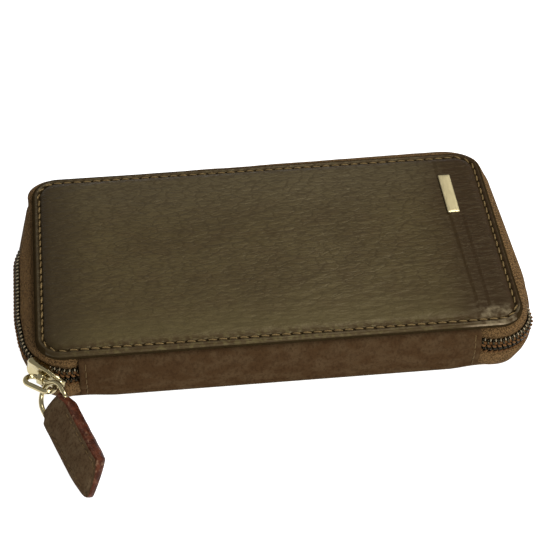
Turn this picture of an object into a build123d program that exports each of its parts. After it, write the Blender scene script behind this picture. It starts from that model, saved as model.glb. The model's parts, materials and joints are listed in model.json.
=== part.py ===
"""Long zip-around leather purse: two padded covers joined by a leather spine along the front edge,
a coil zip round the other three sides, and a slider with a link, a D-ring and a leather pull tab.

Millimetres. +X runs along the long side, +Y away from the spine, +Z up. The origin is the centre of the
flat underside. The purse lies closed on its bottom cover. Nodes are grouped by the body they move with.
"""
from build123d import *
from math import atan2, cos, radians, sin
import os

os.makedirs("parts", exist_ok=True)

# Covers
HALF_L = 88.0          # half length of a cover
HALF_W = 47.4          # half width of a cover
CORNER_R = 10.0        # corner radius of a cover
HEIGHT = 23.7          # closed height, over both pads
RIM_T = 2.6            # thickness of a cover at its rim
PAD = 0.9              # how far the padded middle stands above the rim
PAD_INSET = 3.5        # from the rim's edge to the pad
PAD_ROUND = 0.72       # radius along the pad's upper edge
FOAM_INSET = 4.5
LINING_T = 0.4
BOARD_T = 0.8
FOAM_T = 1.3
EDGE_WALL = 1.2        # leather turned round the edge of the board
SEAM_INSET = 2.7       # from the rim's edge to the perimeter seam
SEAM_W = 0.8
SEAM_DEPTH = 0.5
MID = HEIGHT / 2
LOWER_FACE = PAD + RIM_T            # inner face of the bottom cover
UPPER_FACE = HEIGHT - PAD - RIM_T   # inner face of the top cover

# Pockets on the inner faces
SLIP_T = 0.6
CARD_T = 0.5
CARD_STEP = 12.0
CARD_BANK = 82.0       # width of one bank of card pockets
CARD_ROWS = 3
POCKET_FRONT = 7.0     # clear of the spine when the purse folds
POCKET_BACK = 4.2
POCKET_SIDE = 5.0
BANK_GAP = 2.0         # between the two banks

# Spine
SPINE_X0, SPINE_X1 = -73.2, 71.2
SPINE_T = 1.1
SPINE_BULGE = 1.9
SPINE_GAP = 0.1        # from a cover's inner face to the spine's edge
SPINE_OUT = 0.2        # how far the spine's edges stand in front of the covers
SPINE_LINING_T = 0.5
SPINE_LINING_IN = 1.0
SPINE_SEAM_IN = 2.3    # from the spine's end to its row of stitches
THREAD_W = 0.6
THREAD_DEPTH = 0.3

# Zip, as offsets outward from the edge of the covers
BULGE = 7.4            # outermost face of the coil along the sides
# Corners of the zip's outline: share of the bulge outward along X, along Y, and in the corner's radius
FRONT_LEFT = (0.5, 0.3, 1.58)
FRONT_RIGHT = (0.35, 0.3, 0.8)
BACK_RIGHT = (0.62, 1.2, 1.5)
BACK_LEFT = (0.2, 1.0, 0.1)
KNEE_Y = -20.0         # where the sides reach their full bulge
SHOULDER_Y = 12.0      # where the left side starts to draw in towards the back
COIL_T = 1.8
COIL_IN, COIL_OUT = 0.65, 3.4       # coil's inner and outer edge from the middle plane
TAPE_T = 0.6
TAPE_IN, TAPE_TURN = 0.9, 4.75      # tape's inner edge, and where it turns towards the cover
TAPE_SEAT = 0.1        # tape's outer face outside the cover's edge
FOLD_Y = -22.0         # tapes and coils in front of this turn with the spine
FOLD_GAP = 0.2

# Slider, as angles about the axis of the front left corner
SLIDER_AT = 54.0       # from -X towards -Y
SLIDER_HALF = 20.0
SLIDER_CLEAR = 0.25
PLATE_T = 1.0
SLIDER_HALF_W = 4.4
LIP = 0.7
LIP_DEPTH = 1.5
POST_HALF = 0.5
POST_SPAN = 9.0        # degrees
BRIDGE_LEN = 2.4
BRIDGE_HALF_W = 2.2
BRIDGE_OUT = 3.0
BRIDGE_ROUND = 1.4
EYE_R = 1.1
EYE_OUT = 1.35         # eye's axis from the slider's face

# Pull
LINK_WIRE = 1.9
LINK_W = 5.4           # between the centres of the link's long sides
LINK_STRAIGHT = 6.0
LINK_SHIFT = 1.4       # centre of the link from the bridge, along the slider
LINK_RISE = 15.0       # degrees above level
RING_WIRE = 1.8
RING_W = 12.2
RING_LEG = 4.0
RING_CORNER = 1.6
RING_ALONG = 3.8       # where the ring crosses the link, along the link
RING_IN = 2.7          # ring's wire from the axis of the link's inner side
TAB_W = 12.8
TAB_LEN = 36.4
TAB_T = 1.5            # one layer of leather
CORE_T = 2.0
TAB_AXIS = Vector(0.355, -0.91, -0.135)
TAB_ROLL = 55.0        # degrees, right edge up
TAB_TIP = 8.0          # length of the pointed end on its left
TAB_TIP_RIGHT = 5.5    # and on its right
TAB_TIP_SHARE = 0.3    # width left at the very end
TAB_TIP_ASIDE = 0.33   # share of the half width that the point lies left of the middle
TAB_ROUND_SHARE = 0.4
TAB_NOTCH = 2.0        # cut in from each side where the strip folds, to clear the ring's corners
TAB_SEAM_IN = 2.2
CORE_IN = 1.2
LOOP_CLEAR = 0.25
LOOP_MARGIN = 0.7      # from the eye of the fold to the core

# Name plate
PLATE_X, PLATE_Y = 72.2, 22.2
PLATE_W, PLATE_L, PLATE_H = 4.6, 21.5, 0.7
PLATE_BEVEL = 0.2
PRONG_INSET = 4.0
PRONG_R = 0.5
WASHER_R, WASHER_T = 1.6, 0.4


def save(part, node):
    export_step(part, f"parts/{node}.step")


def cover_face(inset):
    """A cover's outline, moved in from its edge."""
    return RectangleRounded(2 * (HALF_L - inset), 2 * (HALF_W - inset), max(CORNER_R - inset, 1.0))


def slab(face, low, high):
    """A face extruded between two heights."""
    return Pos(0, 0, low) * extrude(face, high - low)


def ring_slab(inset, width, low, high):
    return slab(cover_face(inset - width / 2), low, high) - slab(cover_face(inset + width / 2), low, high)


def zip_corner(side_x, side_y, shares, bulge, offset):
    """One corner of the zip's outline, as x, y and radius."""
    x_share, y_share, r_share = shares
    x = side_x * (HALF_L + x_share * bulge + offset)
    y = side_y * (HALF_W + y_share * bulge + offset)
    return x, y, CORNER_R + r_share * bulge + offset


def zip_face(bulge, offset):
    """The zip wall's outline: pushed out by bulge, less at the corners and front, then offset evenly."""
    front_left = zip_corner(-1, -1, FRONT_LEFT, bulge, offset)
    front_right = zip_corner(1, -1, FRONT_RIGHT, bulge, offset)
    back_right = zip_corner(1, 1, BACK_RIGHT, bulge, offset)
    back_left = zip_corner(-1, 1, BACK_LEFT, bulge, offset)
    side_x = HALF_L + bulge + offset
    outline = [front_left[:2], front_right[:2], (side_x, KNEE_Y), back_right[:2]]
    outline += [back_left[:2], (-side_x, SHOULDER_Y), (-side_x, KNEE_Y)]
    face = make_face(Polyline(*outline, close=True))
    for x, y, radius in (front_left, front_right, back_right, back_left):
        nearest = face.vertices().sort_by_distance((x, y, 0))[0]
        face = fillet(nearest, radius)
    return face


def zip_frustum(low, high):
    """Solid between two zip outlines, each given as (bulge, offset, height)."""
    sections = [Pos(0, 0, height) * zip_face(bulge, offset) for bulge, offset, height in (low, high)]
    return loft(sections, ruled=True)


def zip_band(inner, outer, low, high):
    """Upright band between two offsets from the coil's outer face."""
    return slab(zip_face(BULGE, outer), low, high) - slab(zip_face(BULGE, inner), low, high)


def upper_tape_band():
    """Tape from the coil up to the top cover's edge."""
    upright = zip_band(-COIL_T - TAPE_T, -COIL_T, MID + TAPE_IN, MID + TAPE_TURN)
    turn = MID + TAPE_TURN
    outer = zip_frustum((BULGE, -COIL_T, turn), (TAPE_SEAT, TAPE_SEAT, UPPER_FACE))
    inner = zip_frustum((BULGE, -COIL_T - TAPE_T, turn), (TAPE_SEAT, TAPE_SEAT - TAPE_T, UPPER_FACE))
    return upright + (outer - inner)


def upper_coil_band():
    return zip_band(-COIL_T, 0, MID + COIL_IN, MID + COIL_OUT)


def mirrored(part):
    """The same piece on the other side of the middle plane."""
    return mirror(part, about=Plane.XY.offset(MID))


FAR = 200.0


def behind_fold(part):
    """The stretch that stays with a cover: everything behind the fold."""
    return part & (Pos(0, FOLD_Y + FAR / 2, MID) * Box(2 * FAR, FAR, FAR))


def at_corners(part, top):
    """The two stretches in front of the fold, which turn with the spine."""
    front = Pos(0, FOLD_Y - FOLD_GAP - FAR / 2, MID) * Box(2 * FAR, FAR, FAR)
    mouth_w = SPINE_X1 - SPINE_X0 + 2 * FOLD_GAP
    mouth = Pos((SPINE_X0 + SPINE_X1) / 2, 0, MID) * Box(mouth_w, FAR, FAR)
    above = Pos(0, 0, top + FAR / 2) * Box(2 * FAR, FAR, FAR)
    return (part & front) - mouth - above


def cover():
    """One padded cover, inner face at z = 0 and pad up."""
    board_top = LINING_T + BOARD_T
    foam_top = board_top + FOAM_T
    pad = slab(cover_face(PAD_INSET), RIM_T, RIM_T + PAD)
    pad = fillet(pad.faces().sort_by(Axis.Z)[-1].edges(), PAD_ROUND)
    leather = slab(cover_face(0), 0, RIM_T)
    leather = fillet(leather.faces().sort_by(Axis.Z)[-1].edges(), PAD) + pad
    leather -= slab(cover_face(EDGE_WALL), 0, board_top)
    leather -= slab(cover_face(FOAM_INSET), board_top, foam_top)
    stitching = ring_slab(SEAM_INSET, SEAM_W, RIM_T - SEAM_DEPTH, RIM_T)
    leather -= stitching
    board = slab(cover_face(EDGE_WALL), LINING_T, board_top)
    foam = slab(cover_face(FOAM_INSET), board_top, foam_top)
    lining = slab(cover_face(EDGE_WALL), 0, LINING_T)
    return {"cover_leather": leather, "cover_stitching": stitching, "cover_foam": foam,
            "cover_board": board, "cover_lining": lining}


def pockets():
    """Slip pocket and two banks of stepped card pockets, below an inner face at z = 0."""
    front = -HALF_W + POCKET_FRONT
    back = HALF_W - POCKET_BACK
    slip = Pos(0, (front + back) / 2, -SLIP_T / 2) * Box(2 * (HALF_L - POCKET_SIDE), back - front, SLIP_T)
    cards = []
    for row in range(CARD_ROWS):
        top = -SLIP_T - row * CARD_T
        depth = back - CARD_STEP * (row + 1) - front
        for side in (-1, 1):
            place = Pos(side * (CARD_BANK + BANK_GAP) / 2, front + depth / 2, top - CARD_T / 2)
            cards.append(place * Box(CARD_BANK, depth, CARD_T))
    return {"slip_pocket": slip, "card_pockets": Compound(children=cards)}


def build_covers():
    upright = Pos(0, 0, UPPER_FACE)
    turned = Pos(0, 0, LOWER_FACE) * Rot(180, 0, 0) * Rot(0, 0, 180)
    pieces = cover() | pockets()
    for name, piece in pieces.items():
        if name == "cover_leather":
            save(turned * piece, "bottom_cover_leather")
            save(upright * piece - prong_shafts(), "top_cover_leather")
        elif name in ("cover_foam", "cover_board"):
            save(turned * piece, f"bottom_{name}")
            save(upright * piece - prong_shafts() - washers(), f"top_{name}")
        else:
            flipped = mirror(piece, about=Plane.XY)
            save(Pos(0, 0, LOWER_FACE) * flipped, f"bottom_{name}")
            save(upright * piece, f"top_{name}")


def prong_places():
    pad_top = UPPER_FACE + RIM_T + PAD
    reach = PLATE_L / 2 - PRONG_INSET
    return [Pos(PLATE_X, PLATE_Y + side * reach, pad_top) for side in (-1, 1)]


def prong_shafts():
    """Two prongs under the name plate, through leather and foam."""
    depth = PAD + RIM_T - LINING_T - BOARD_T
    shafts = [place * Pos(0, 0, -depth / 2) * Cylinder(PRONG_R, depth) for place in prong_places()]
    return shafts[0] + shafts[1]


def washers():
    """Thin washers that the prongs are bent over, let into the board."""
    depth = PAD + RIM_T - LINING_T - BOARD_T
    disc = Pos(0, 0, -depth - WASHER_T / 2) * Cylinder(WASHER_R, WASHER_T)
    discs = [place * disc for place in prong_places()]
    return discs[0] + discs[1]


def build_name_plate():
    pad_top = UPPER_FACE + RIM_T + PAD
    plate = Pos(PLATE_X, PLATE_Y, pad_top + PLATE_H / 2) * Box(PLATE_W, PLATE_L, PLATE_H)
    plate = chamfer(plate.faces().sort_by(Axis.Z)[-1].edges(), PLATE_BEVEL)
    save(plate, "name_plate")
    save(prong_shafts(), "name_plate_prongs")
    save(washers(), "name_plate_washers")


def spine_section(inner, outer):
    """Strip between two depths behind the spine's outer face, in the YZ plane."""
    low, high = LOWER_FACE + SPINE_GAP, UPPER_FACE - SPINE_GAP
    front = -HALF_W - SPINE_OUT

    def bow(depth):
        return ThreePointArc((front + depth, low), (front - SPINE_BULGE + depth, MID), (front + depth, high))

    near, far = bow(outer), bow(inner)
    ends = [Line(near @ 0, far @ 0), Line(near @ 1, far @ 1)]
    return make_face([near, far, *ends])


def spine_strip(inner, outer, x0, x1):
    face = Plane.YZ * spine_section(inner, outer)
    return Pos(x0, 0, 0) * extrude(face, x1 - x0, dir=(1, 0, 0))


def build_spine():
    leather = spine_strip(SPINE_T, 0, SPINE_X0, SPINE_X1)
    rows = []
    for x in (SPINE_X0 + SPINE_SEAM_IN, SPINE_X1 - SPINE_SEAM_IN):
        rows.append(spine_strip(THREAD_DEPTH, 0, x - THREAD_W / 2, x + THREAD_W / 2))
    for row in rows:
        leather -= row
    save(leather, "spine_leather")
    save(Compound(children=rows), "spine_stitching")
    lining = spine_strip(SPINE_T + SPINE_LINING_T, SPINE_T,
                         SPINE_X0 + SPINE_LINING_IN, SPINE_X1 - SPINE_LINING_IN)
    save(lining, "spine_lining")


def build_zip():
    tape, coil = upper_tape_band(), upper_coil_band()
    top = UPPER_FACE - SPINE_GAP
    save(behind_fold(tape), "upper_tape")
    save(behind_fold(coil), "upper_coil")
    save(mirrored(behind_fold(tape)), "lower_tape")
    save(mirrored(behind_fold(coil)), "lower_coil")
    tape_ends, coil_ends = at_corners(tape, top), at_corners(coil, top)
    save(tape_ends, "upper_tape_ends")
    save(coil_ends, "upper_coil_ends")
    save(mirrored(tape_ends), "lower_tape_ends")
    save(mirrored(coil_ends), "lower_coil_ends")


def corner_axis():
    """Centre and radius of the coil's outer face round the front left corner."""
    front_x, front_y, radius = zip_corner(-1, -1, FRONT_LEFT, BULGE, 0)
    side_x = -(HALF_L + BULGE)
    lean = atan2(front_x - side_x, KNEE_Y - front_y)
    x = front_x + radius * (1 - sin(lean)) / cos(lean)
    return x, front_y + radius, radius


AXIS_X, AXIS_Y, COIL_R = corner_axis()


def sector(r_in, r_out, from_deg, to_deg, low, high):
    """Part of a ring about the corner's axis, between two angles from -X towards -Y."""
    def at(radius, angle):
        return (AXIS_X - radius * cos(radians(angle)), AXIS_Y - radius * sin(radians(angle)))

    middle = (from_deg + to_deg) / 2
    outer = ThreePointArc(at(r_out, from_deg), at(r_out, middle), at(r_out, to_deg))
    inner = ThreePointArc(at(r_in, from_deg), at(r_in, middle), at(r_in, to_deg))
    sides = [Line(outer @ 0, inner @ 0), Line(outer @ 1, inner @ 1)]
    return slab(make_face([outer, inner, *sides]), low, high)


OUT = Vector(-cos(radians(SLIDER_AT)), -sin(radians(SLIDER_AT)), 0)
ALONG = Vector(-OUT.Y, OUT.X, 0)
UP = Vector(0, 0, 1)
FACE_R = COIL_R + SLIDER_CLEAR + PLATE_T
EYE = Vector(AXIS_X, AXIS_Y, MID) + OUT * (FACE_R + EYE_OUT)


def build_slider():
    first, last = SLIDER_AT - SLIDER_HALF, SLIDER_AT + SLIDER_HALF
    low, high = MID - SLIDER_HALF_W, MID + SLIDER_HALF_W
    outer = sector(COIL_R + SLIDER_CLEAR, FACE_R, first, last, low, high)
    inner_out = COIL_R - COIL_T - TAPE_T - SLIDER_CLEAR
    inner = sector(inner_out - PLATE_T, inner_out, first, last, low, high)
    post = sector(inner_out, COIL_R + SLIDER_CLEAR, last - POST_SPAN, last, MID - POST_HALF, MID + POST_HALF)
    lip_in = COIL_R + SLIDER_CLEAR - LIP_DEPTH
    body = outer + inner + post
    for side_low, side_high in ((low, low + LIP), (high - LIP, high)):
        body += sector(lip_in, COIL_R + SLIDER_CLEAR, first, last, side_low, side_high)
    save(body, "slider_body")
    frame = Plane(origin=EYE - OUT * EYE_OUT, x_dir=ALONG, z_dir=OUT)
    block = Box(BRIDGE_LEN, 2 * BRIDGE_HALF_W, BRIDGE_OUT, align=(Align.CENTER, Align.CENTER, Align.MIN))
    block = fillet(block.edges().filter_by(Axis.X).group_by(Axis.Z)[-1], BRIDGE_ROUND)
    eye = Pos(0, 0, EYE_OUT) * Rot(0, 90, 0) * Cylinder(EYE_R, BRIDGE_LEN + 2)
    bridge = frame * (block - eye)
    save(bridge - outer, "slider_bridge")


def wire_loop(path, diameter, start, direction):
    profile = Plane(origin=start, z_dir=direction) * Circle(diameter / 2)
    return sweep(profile, path=path)


LINK_OUT = OUT * cos(radians(LINK_RISE)) + UP * sin(radians(LINK_RISE))


def build_link():
    """Oval link: one long side through the bridge's eye, the other holding the D-ring."""
    half, width = LINK_STRAIGHT / 2, LINK_W

    def at(along, out):
        return EYE + ALONG * (LINK_SHIFT + along) + LINK_OUT * out

    path = Wire([
        Edge.make_line(at(-half, 0), at(half, 0)),
        Edge.make_three_point_arc(at(half, 0), at(half + width / 2, width / 2), at(half, width)),
        Edge.make_line(at(half, width), at(-half, width)),
        Edge.make_three_point_arc(at(-half, width), at(-half - width / 2, width / 2), at(-half, 0)),
    ])
    save(wire_loop(path, LINK_WIRE, at(-half, 0), ALONG), "pull_link")


TAB_DOWN = TAB_AXIS.normalized()
TAB_LEVEL = Vector(-TAB_DOWN.Y, TAB_DOWN.X, 0).normalized()
TAB_UP = TAB_LEVEL.cross(TAB_DOWN) * -1
TAB_RIGHT = TAB_LEVEL * cos(radians(TAB_ROLL)) + TAB_UP * sin(radians(TAB_ROLL))
TAB_FACE = TAB_DOWN.cross(TAB_RIGHT)
RING_TOP = EYE + ALONG * RING_ALONG + LINK_OUT * RING_IN
RING_BAR = RING_TOP + TAB_DOWN * (RING_W / 2 + RING_LEG)


def build_ring():
    """D-ring: round end through the link, straight bar inside the leather tab."""
    half = RING_W / 2

    def at(right, down):
        return RING_TOP + TAB_RIGHT * right + TAB_DOWN * down

    corner = RING_CORNER
    bottom = half + RING_LEG
    path = Wire([
        Edge.make_three_point_arc(at(-half, half), at(0, 0), at(half, half)),
        Edge.make_line(at(half, half), at(half, bottom - corner)),
        Edge.make_tangent_arc(at(half, bottom - corner), TAB_DOWN, at(half - corner, bottom)),
        Edge.make_line(at(half - corner, bottom), at(corner - half, bottom)),
        Edge.make_tangent_arc(at(corner - half, bottom), TAB_RIGHT * -1, at(-half, bottom - corner)),
        Edge.make_line(at(-half, bottom - corner), at(-half, half)),
    ])
    save(wire_loop(path, RING_WIRE, at(half, half), TAB_DOWN), "pull_ring")


def tab_outline(inset, start):
    """Strip with a rounded point, from start along its length, moved in from its edge."""
    half = TAB_W / 2 - inset
    left, right, tip = TAB_LEN - TAB_TIP, TAB_LEN - TAB_TIP_RIGHT, TAB_LEN - inset
    end, aside = half * TAB_TIP_SHARE, half * TAB_TIP_ASIDE
    edge = Polyline((-half, start), (-half, left), (-end - aside, tip), (end - aside, tip),
                    (half, right - inset), (half, start), close=True)
    face = make_face(edge)
    points = [v for v in face.vertices() if v.Y > start + 1]
    return fillet(points, half * TAB_ROUND_SHARE)


def build_tab():
    """Leather strip folded round the ring's bar over a thin core, and sewn."""
    frame = Plane(origin=RING_BAR, x_dir=TAB_RIGHT, z_dir=TAB_FACE * -1)
    reach = RING_WIRE / 2 + LOOP_CLEAR
    half_t = TAB_T + CORE_T / 2
    start = reach + LOOP_MARGIN
    strip = slab(tab_outline(0, 0), -half_t, half_t)
    loop_out = Rot(0, 90, 0) * Cylinder(reach + TAB_T, TAB_W - 2 * TAB_NOTCH)
    eye = Rot(0, 90, 0) * Cylinder(reach, 2 * TAB_W)
    core = slab(tab_outline(CORE_IN, start + CORE_IN), -CORE_T / 2, CORE_T / 2)
    sides = []
    for side in (-1, 1):
        sides.append(Pos(side * TAB_W / 2, 0, 0) * Box(2 * TAB_NOTCH, 2 * start, 4 * half_t))
    seam_start = start + TAB_SEAM_IN
    seam_floor = half_t - THREAD_DEPTH
    seam = slab(tab_outline(TAB_SEAM_IN - THREAD_W / 2, seam_start), seam_floor, half_t)
    seam -= slab(tab_outline(TAB_SEAM_IN + THREAD_W / 2, seam_start + THREAD_W), seam_floor, half_t)
    seams = seam + mirror(seam, about=Plane.XY)
    leather = (strip + loop_out) - eye - core - seams
    for side in sides:
        leather -= side
    save(frame * leather, "pull_tab_leather")
    save(frame * core, "pull_tab_core")
    save(frame * seams, "pull_tab_stitching")


build_covers()
build_name_plate()
build_spine()
build_zip()
build_slider()
build_link()
build_ring()
build_tab()
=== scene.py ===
"""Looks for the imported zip-around purse: leather, sewing, coil zip, metal fittings, lining and studio.

Sizes are in millimetres in the row frame and are turned into metres where a mesh is made.
"""
import json
import math
import random

import bmesh
import bpy
import numpy as np
from mathutils import Matrix, Vector, noise


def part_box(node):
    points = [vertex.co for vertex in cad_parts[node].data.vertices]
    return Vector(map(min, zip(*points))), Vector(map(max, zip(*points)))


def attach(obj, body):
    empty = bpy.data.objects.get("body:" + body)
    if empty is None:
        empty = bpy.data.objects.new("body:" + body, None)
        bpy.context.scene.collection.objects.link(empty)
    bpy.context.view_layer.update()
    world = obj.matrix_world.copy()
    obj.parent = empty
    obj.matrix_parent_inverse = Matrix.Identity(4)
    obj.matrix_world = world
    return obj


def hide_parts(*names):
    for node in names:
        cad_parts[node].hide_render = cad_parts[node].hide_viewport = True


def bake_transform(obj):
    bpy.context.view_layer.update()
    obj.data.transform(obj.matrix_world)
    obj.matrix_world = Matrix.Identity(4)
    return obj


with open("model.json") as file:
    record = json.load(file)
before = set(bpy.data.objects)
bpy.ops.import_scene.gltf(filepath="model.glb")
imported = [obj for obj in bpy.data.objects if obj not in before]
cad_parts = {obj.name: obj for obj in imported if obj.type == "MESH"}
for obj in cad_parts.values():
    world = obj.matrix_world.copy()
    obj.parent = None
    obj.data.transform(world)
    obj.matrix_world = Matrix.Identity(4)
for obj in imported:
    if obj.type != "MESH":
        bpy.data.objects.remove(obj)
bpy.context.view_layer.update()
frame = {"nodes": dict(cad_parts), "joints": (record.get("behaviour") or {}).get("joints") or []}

MM = 0.001
random.seed(7)


# ---- sizes, from the frame

def box_mm(node):
    """A CAD node's box in millimetres."""
    low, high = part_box(node)
    return np.array(low) / MM, np.array(high) / MM


def joint_place(name):
    """A joint's position in millimetres and its axis."""
    found = next(joint for joint in frame["joints"] if joint["name"] == name)
    return np.array(found["pos_m"]) / MM, np.array(found["axis"], float)


def unit(vectors):
    """A vector, or each row, scaled to length 1."""
    return vectors / np.linalg.norm(vectors, axis=-1, keepdims=True)


def path_lengths(path):
    """Distance from the start at each point of a path."""
    return np.concatenate([[0], np.cumsum(np.linalg.norm(np.diff(path, axis=0), axis=1))])


cover_lo, cover_hi = box_mm("top_cover_leather")
spine_lo, spine_hi = box_mm("spine_leather")
_, coil_hi = box_mm("upper_coil")
plate_lo, plate_hi = box_mm("name_plate")

HALF_L = cover_hi[0]
HALF_W = cover_hi[1]
CORNER_R = 10.0
UPPER_FACE = cover_lo[2]
HEIGHT = cover_hi[2]
LOWER_FACE = HEIGHT - UPPER_FACE
MID = HEIGHT / 2
RIM_T = 2.6
PAD = HEIGHT - UPPER_FACE - RIM_T

# Cover profile, as distances in from the edge
EDGE_ROUND = 0.9
TURNED_EDGE = 1.0
SEAM_IN = 2.7
SEAM_DEPTH = 0.4
SEAM_HALF = 0.55
PAD_START = 3.1
PAD_RISE = 3.6
EDGE_WALL = 1.2
BOARD_TOP = 1.2
FOAM_TOP = 2.5
FOAM_IN = 4.5
STITCH_PITCH = 3.75

# Zip
BULGE = coil_hi[0] - HALF_L
# Corners of the zip's outline: share of the bulge outward along X, along Y, and in the corner's radius
FRONT_LEFT = (0.5, 0.3, 1.58)
FRONT_RIGHT = (0.35, 0.3, 0.8)
BACK_RIGHT = (0.62, 1.2, 1.5)
BACK_LEFT = (0.2, 1.0, 0.1)
KNEE_Y = -20.0
SHOULDER_Y = 12.0
KNEE_R = 60.0
COIL_PITCH = 1.9
SPINE_X0, SPINE_X1 = spine_lo[0], spine_hi[0]

# Slider, link and tab
CORNER_AXIS, _ = joint_place("slider_travel")
EYE, ALONG = joint_place("link_swing")
RING_BAR, TAB_LEFT = joint_place("tab_swing")
UP = np.array([0.0, 0.0, 1.0])
OUT = np.array([ALONG[1], -ALONG[0], 0.0])
TAB_RIGHT = -unit(TAB_LEFT)
TAB_DOWN = unit(np.array([0.355, -0.91, -0.135]))
TAB_FACE = np.cross(TAB_DOWN, TAB_RIGHT)


# ---- materials

# Period of a wave texture at scale 1
WAVE_PERIOD = 0.31416
OLIVE_GLOSS = (1.0, 0.84, 0.48, 1.0)
RED_GLOSS = (1.0, 0.6, 0.42, 1.0)


def rgba(colour):
    return (*colour, 1.0) if isinstance(colour, tuple) else colour


class Surface:
    """A Principled material whose textures are measured in millimetres of the row frame."""

    def __init__(self, name, roughness=0.5, **inputs):
        self.material = bpy.data.materials.new(name)
        self.material.use_nodes = True
        self.tree = self.material.node_tree
        self.shader = self.tree.nodes["Principled BSDF"]
        self.shader.inputs["Roughness"].default_value = roughness
        for label, value in inputs.items():
            self.shader.inputs[label.replace("_", " ")].default_value = value
        self.place = self.add("ShaderNodeTexCoord", "Object")

    def feed(self, socket, value):
        """Links a socket to another one, or sets its value."""
        if isinstance(value, bpy.types.NodeSocket):
            self.tree.links.new(value, socket)
        else:
            socket.default_value = value

    def add(self, kind, output, feeds=None, **settings):
        """One output of a new node. feeds holds the node's inputs by name or number."""
        node = self.tree.nodes.new(kind)
        for label, value in settings.items():
            setattr(node, label, value)
        for label, value in (feeds or {}).items():
            self.feed(node.inputs[label], value)
        return node.outputs[output]

    def set(self, label, value):
        self.feed(self.shader.inputs[label], value)

    def colour(self, value):
        self.base = rgba(value)
        self.set("Base Color", self.base)

    def tint(self, share, colour):
        """Lays a colour over the ones before it."""
        self.colour(self.mix(share, self.base, colour))

    def spot(self, stretch=(1, 1, 1), turn=(0, 0, 0)):
        """Coordinates in millimetres, stretched and turned."""
        scale = [1 / (MM * s) for s in stretch]
        rotation = [math.radians(a) for a in turn]
        feeds = {"Vector": self.place, "Scale": scale, "Rotation": rotation}
        return self.add("ShaderNodeMapping", "Vector", feeds)

    def axis(self, name):
        """One coordinate in millimetres."""
        return self.add("ShaderNodeSeparateXYZ", name, {0: self.spot()})

    def noise(self, size, detail=3.0, stretch=(1, 1, 1), turn=(0, 0, 0)):
        feeds = {"Vector": self.spot(stretch, turn), "Scale": 1 / size, "Detail": detail}
        return self.add("ShaderNodeTexNoise", "Fac", feeds)

    def cells(self, size, stretch=(1, 1, 1), feature="F1", warp=0.0):
        """Cell pattern. warp shifts its coordinates by smooth noise, in stretched millimetres."""
        place = self.spot(stretch)
        shift = self.add("ShaderNodeTexNoise", "Color", {"Vector": place, "Scale": 0.5 / size})
        feeds = {0: shift, 1: (warp, warp, warp), 2: place}
        moved = self.add("ShaderNodeVectorMath", 0, feeds, operation="MULTIPLY_ADD")
        feeds = {"Vector": moved, "Scale": 1 / size}
        return self.add("ShaderNodeTexVoronoi", "Distance", feeds, feature=feature)

    def wave(self, size, turn=(0, 0, 0), warp=0.0):
        feeds = {"Vector": self.spot(turn=turn), "Scale": WAVE_PERIOD / size, "Distortion": warp}
        return self.add("ShaderNodeTexWave", "Fac", feeds)

    def calc(self, operation, first, second=0.0):
        return self.add("ShaderNodeMath", 0, {0: first, 1: second}, operation=operation)

    def sum(self, first, second):
        return self.calc("ADD", first, second)

    def times(self, first, second):
        return self.calc("MULTIPLY", first, second)

    def band(self, value, low, high, to_low=0.0, to_high=1.0):
        """Maps low..high smoothly onto to_low..to_high."""
        feeds = {"Value": value, "From Min": low, "From Max": high, "To Min": to_low, "To Max": to_high}
        return self.add("ShaderNodeMapRange", "Result", feeds, interpolation_type="SMOOTHSTEP")

    def mix(self, share, first, second):
        feeds = {"Factor": share, "A": rgba(first), "B": rgba(second)}
        return self.add("ShaderNodeMix", "Result", feeds, data_type="RGBA")

    def bump(self, height, depth, strength=1.0, under=None):
        """Bump of the given depth in millimetres, laid over an earlier one."""
        feeds = {"Height": height, "Distance": depth * MM, "Strength": strength}
        if under is not None:
            feeds["Normal"] = under
        normal = self.add("ShaderNodeBump", "Normal", feeds)
        self.set("Normal", normal)
        return normal


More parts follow.
